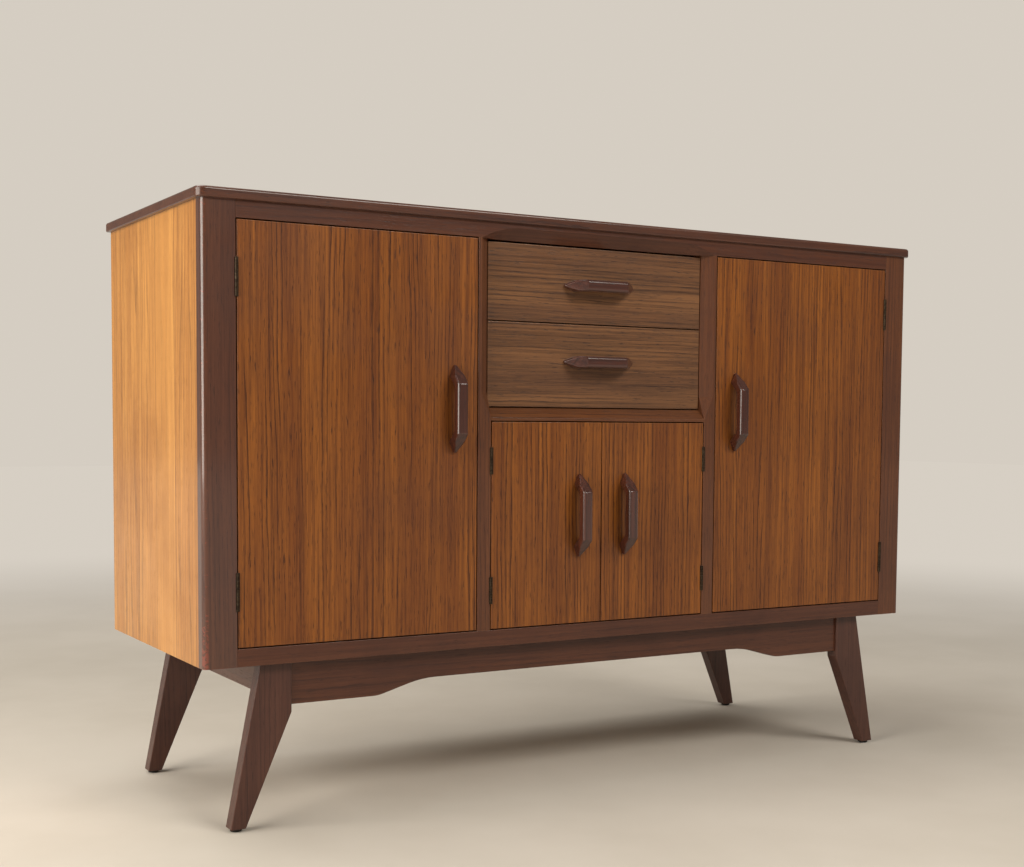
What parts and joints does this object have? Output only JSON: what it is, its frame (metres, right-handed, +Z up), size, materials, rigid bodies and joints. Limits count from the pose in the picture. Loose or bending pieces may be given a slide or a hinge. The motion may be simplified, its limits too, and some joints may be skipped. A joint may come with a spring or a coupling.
{
  "type": "sideboard",
  "caption": "Wooden sideboard with side cupboards, a centre cupboard under drawers in a chamfered bay, carved bow handles and a shaped underframe on splayed legs.",
  "frame": {"origin": "on the floor under the middle of the bounding box", "axes": "+X along the length to the right as seen from the front, +Y from front to back, +Z up"},
  "size_m": [1.234, 0.448, 0.836],
  "materials": {
    "frame_wood": "dark stained hardwood, satin varnish",
    "side_veneer": "orange-brown vertical veneer, satin varnish",
    "door_veneer": "mid-brown vertical veneer, satin varnish",
    "drawer_veneer": "brown horizontal veneer, satin varnish",
    "handle_wood": "reddish-brown hardwood, glossy varnish",
    "interior_wood": "plain unvarnished hardwood",
    "plywood": "bare plywood",
    "aged_brass": "dulled by age",
    "steel": "dull"
  },
  "bodies": {
    "carcass": {"top_slab": "frame_wood", "side_panel_right": "side_veneer", "side_panel_left": "side_veneer", "end_stile_right": "frame_wood", "end_stile_left": "frame_wood", "top_rail": "frame_wood", "bottom_rail": "frame_wood", "divider_post_right": "frame_wood", "divider_post_left": "frame_wood", "partition_right": "interior_wood", "partition_left": "interior_wood", "drawer_ledge": "frame_wood", "dust_board": "plywood", "bottom_board": "interior_wood", "back_panel": "plywood", "back_panel_screws": "steel", "top_back_rail": "interior_wood", "shelf_right": "interior_wood", "shelf_left": "interior_wood", "shelf_battens": "interior_wood", "drawer_runners": "interior_wood", "ball_catches": "aged_brass", "hinge_case_leaves": "aged_brass", "hinge_pins": "aged_brass", "leg_front_right": "frame_wood", "leg_front_left": "frame_wood", "leg_back_right": "frame_wood", "leg_back_left": "frame_wood", "foot_glides": "steel", "front_apron": "frame_wood", "back_apron": "frame_wood", "underframe_rail_right": "frame_wood", "underframe_rail_left": "frame_wood", "corner_blocks": "interior_wood", "underframe_screws": "steel"},
    "right_big_leaf": {"big_door_right": "door_veneer", "big_door_handle_right": "handle_wood", "big_door_hinge_leaves_right": "aged_brass"},
    "right_small_leaf": {"small_door_right": "door_veneer", "small_door_handle_right": "handle_wood", "small_door_hinge_leaves_right": "aged_brass"},
    "left_big_leaf": {"big_door_left": "door_veneer", "big_door_handle_left": "handle_wood", "big_door_hinge_leaves_left": "aged_brass"},
    "left_small_leaf": {"small_door_left": "door_veneer", "small_door_handle_left": "handle_wood", "small_door_hinge_leaves_left": "aged_brass"},
    "upper_tray": {"upper_drawer_front": "drawer_veneer", "upper_drawer_side_right": "interior_wood", "upper_drawer_side_left": "interior_wood", "upper_drawer_back": "interior_wood", "upper_drawer_bottom": "plywood", "upper_drawer_handle": "handle_wood"},
    "lower_tray": {"lower_drawer_front": "drawer_veneer", "lower_drawer_side_right": "interior_wood", "lower_drawer_side_left": "interior_wood", "lower_drawer_back": "interior_wood", "lower_drawer_bottom": "plywood", "lower_drawer_handle": "handle_wood"}
  },
  "joints": [
    {"name": "right_big_door_swing", "type": "hinge", "parent": "carcass", "child": "right_big_leaf", "pos_m": [0.56375, -0.1964, 0.522], "axis": [0, 0, 1], "range_deg": [0, 165]},
    {"name": "right_small_door_swing", "type": "hinge", "parent": "carcass", "child": "right_small_leaf", "pos_m": [0.18825, -0.1964, 0.39475], "axis": [0, 0, 1], "range_deg": [0, 120]},
    {"name": "left_big_door_swing", "type": "hinge", "parent": "carcass", "child": "left_big_leaf", "pos_m": [-0.56375, -0.1964, 0.522], "axis": [0, 0, -1], "range_deg": [0, 165]},
    {"name": "left_small_door_swing", "type": "hinge", "parent": "carcass", "child": "left_small_leaf", "pos_m": [-0.18825, -0.1964, 0.39475], "axis": [0, 0, -1], "range_deg": [0, 120]},
    {"name": "upper_drawer_slide", "type": "slide", "parent": "carcass", "child": "upper_tray", "axis": [0, -1, 0], "range_m": [0, 0.3]},
    {"name": "lower_drawer_slide", "type": "slide", "parent": "carcass", "child": "lower_tray", "axis": [0, -1, 0], "range_m": [0, 0.3]}
  ]
}
